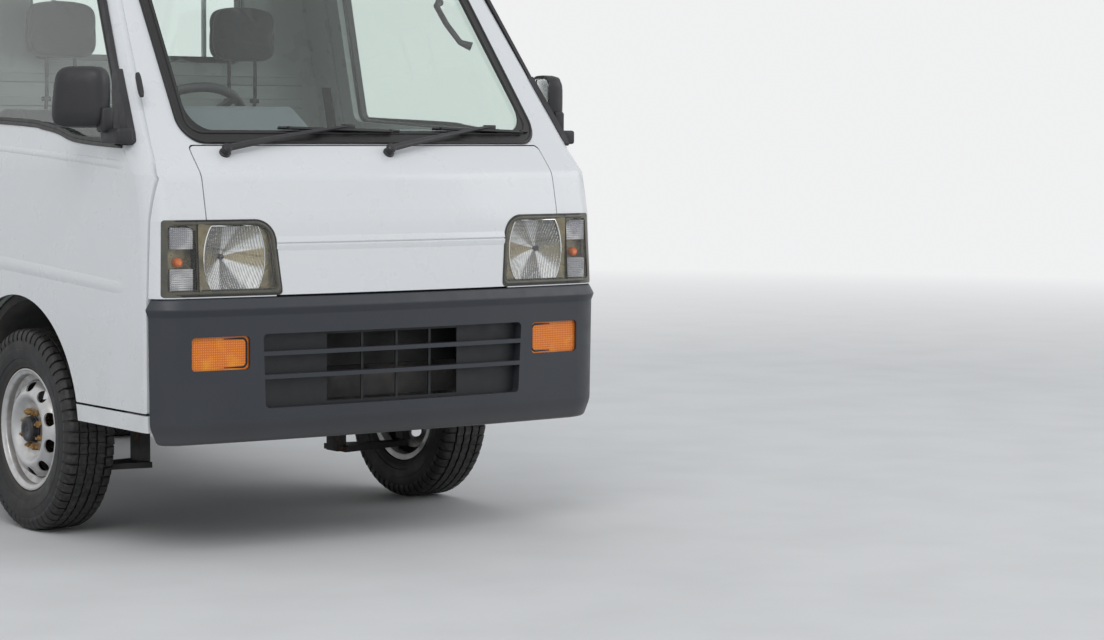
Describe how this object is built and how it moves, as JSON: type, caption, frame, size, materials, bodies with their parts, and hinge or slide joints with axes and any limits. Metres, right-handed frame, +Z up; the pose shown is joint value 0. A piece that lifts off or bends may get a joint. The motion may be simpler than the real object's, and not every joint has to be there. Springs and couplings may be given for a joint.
{
  "type": "light cab-over pickup truck",
  "caption": "Small cab-over pickup with a white cab and a drop-side bed, opening doors, steered front wheels, rolling wheels and folding gates.",
  "frame": {"origin": "on the ground under the middle of the vehicle's outside box", "axes": "+X to the vehicle's left, +Y to its rear, +Z up"},
  "size_m": [1.712, 3.2942, 1.7436],
  "materials": {
    "body_paint": "gloss",
    "bed_paint": "semi-gloss",
    "chassis_paint": "satin",
    "underbody_paint": "satin",
    "window_glass": "clear",
    "seal_rubber": "matte",
    "bumper_plastic": "matte",
    "grille_plastic": "matte",
    "lamp_bezel": "aged",
    "lamp_lens": "clear",
    "lamp_reflector": "polished",
    "amber_lens": "gloss",
    "black_metal": "satin",
    "cabin_plastic": "matte",
    "seat_fabric": "woven",
    "black_plastic": "matte",
    "belt_webbing": "woven",
    "engine_metal": "rough",
    "exhaust_metal": "rusted",
    "radiator_metal": "matte",
    "red_lens": "gloss",
    "tyre_rubber": "matte",
    "wheel_steel": "satin"
  },
  "bodies": {
    "body": {"chassis_frame": "chassis_paint", "cab_floor": "underbody_paint", "front_panel": "body_paint", "front_lid": "body_paint", "roof_panel": "body_paint", "cab_back": "body_paint", "cab_side_left": "body_paint", "cab_side_right": "body_paint", "cab_glass": "window_glass", "cab_glass_seals": "seal_rubber", "front_bumper": "bumper_plastic", "grille_insert": "grille_plastic", "headlamp_frames": "lamp_bezel", "headlamp_lenses": "lamp_lens", "headlamp_reflectors": "lamp_reflector", "turn_signals": "amber_lens", "wipers": "black_metal", "dashboard": "cabin_plastic", "seats": "seat_fabric", "headrests": "seat_fabric", "cab_controls": "black_plastic", "cab_fittings": "belt_webbing", "front_suspension": "chassis_paint", "rear_suspension": "chassis_paint", "engine": "engine_metal", "exhaust": "exhaust_metal", "fuel_tank": "chassis_paint", "radiator": "radiator_metal", "bed_floor": "bed_paint", "headboard": "bed_paint", "tail_lamps": "red_lens", "spare_wheel": "tyre_rubber"},
    "steering_wheel": {"steering_wheel": "black_plastic"},
    "knuckle_left": {"knuckle_left": "chassis_paint"},
    "knuckle_right": {"knuckle_right": "chassis_paint"},
    "side_gate_left": {"side_gate_left": "bed_paint"},
    "side_gate_right": {"side_gate_right": "bed_paint"},
    "tailgate": {"tailgate": "bed_paint"},
    "door_left": {"door_left": "body_paint", "door_glass_left": "window_glass", "door_fittings_left": "black_plastic"},
    "wheel_front_left": {"rim_front_left": "wheel_steel", "tyre_front_left": "tyre_rubber"},
    "wheel_rear_left": {"rim_rear_left": "wheel_steel", "tyre_rear_left": "tyre_rubber"},
    "door_right": {"door_right": "body_paint", "door_glass_right": "window_glass", "door_fittings_right": "black_plastic"},
    "wheel_front_right": {"rim_front_right": "wheel_steel", "tyre_front_right": "tyre_rubber"},
    "wheel_rear_right": {"rim_rear_right": "wheel_steel", "tyre_rear_right": "tyre_rubber"}
  },
  "joints": [
    {"name": "steering", "type": "hinge", "parent": "body", "child": "steering_wheel", "pos_m": [-0.296, -1.013, 1.073], "axis": [0, 0.6691, 0.7431], "range_deg": [-594, 594]},
    {"name": "steer_left", "type": "hinge", "parent": "body", "child": "knuckle_left", "pos_m": [0.557, -0.825, 0.175], "axis": [-0.2028, 0, 0.9792], "range_deg": [-33, 33]},
    {"name": "steer_right", "type": "hinge", "parent": "body", "child": "knuckle_right", "pos_m": [-0.557, -0.825, 0.175], "axis": [0.2028, 0, 0.9792], "range_deg": [-33, 33]},
    {"name": "spin_front_left", "type": "hinge", "parent": "knuckle_left", "child": "wheel_front_left", "pos_m": [0.6025, -0.825, 0.272], "axis": [1, 0, 0], "continuous": true},
    {"name": "spin_rear_left", "type": "hinge", "parent": "body", "child": "wheel_rear_left", "pos_m": [0.6025, 1.06, 0.272], "axis": [1, 0, 0], "continuous": true},
    {"name": "door_hinge_left", "type": "hinge", "parent": "body", "child": "door_left", "pos_m": [0.687, -1.525, 1], "axis": [0, 0, -1], "range_deg": [0, 65]},
    {"name": "gate_hinge_left", "type": "hinge", "parent": "body", "child": "side_gate_left", "pos_m": [0.692, 0.74, 0.656], "axis": [0, 1, 0], "range_deg": [0, 178]},
    {"name": "spin_front_right", "type": "hinge", "parent": "knuckle_right", "child": "wheel_front_right", "pos_m": [-0.6025, -0.825, 0.272], "axis": [1, 0, 0], "continuous": true},
    {"name": "spin_rear_right", "type": "hinge", "parent": "body", "child": "wheel_rear_right", "pos_m": [-0.6025, 1.06, 0.272], "axis": [1, 0, 0], "continuous": true},
    {"name": "door_hinge_right", "type": "hinge", "parent": "body", "child": "door_right", "pos_m": [-0.687, -1.525, 1], "axis": [0, 0, 1], "range_deg": [0, 65]},
    {"name": "gate_hinge_right", "type": "hinge", "parent": "body", "child": "side_gate_right", "pos_m": [-0.692, 0.74, 0.656], "axis": [0, -1, 0], "range_deg": [0, 178]},
    {"name": "tailgate_hinge", "type": "hinge", "parent": "body", "child": "tailgate", "pos_m": [0, 1.641, 0.656], "axis": [-1, 0, 0], "range_deg": [0, 178]}
  ],
  "couplings": [
    {"joint": "steer_left", "follows": "steering", "ratio": 0.055556},
    {"joint": "steer_right", "follows": "steering", "ratio": 0.055556}
  ]
}
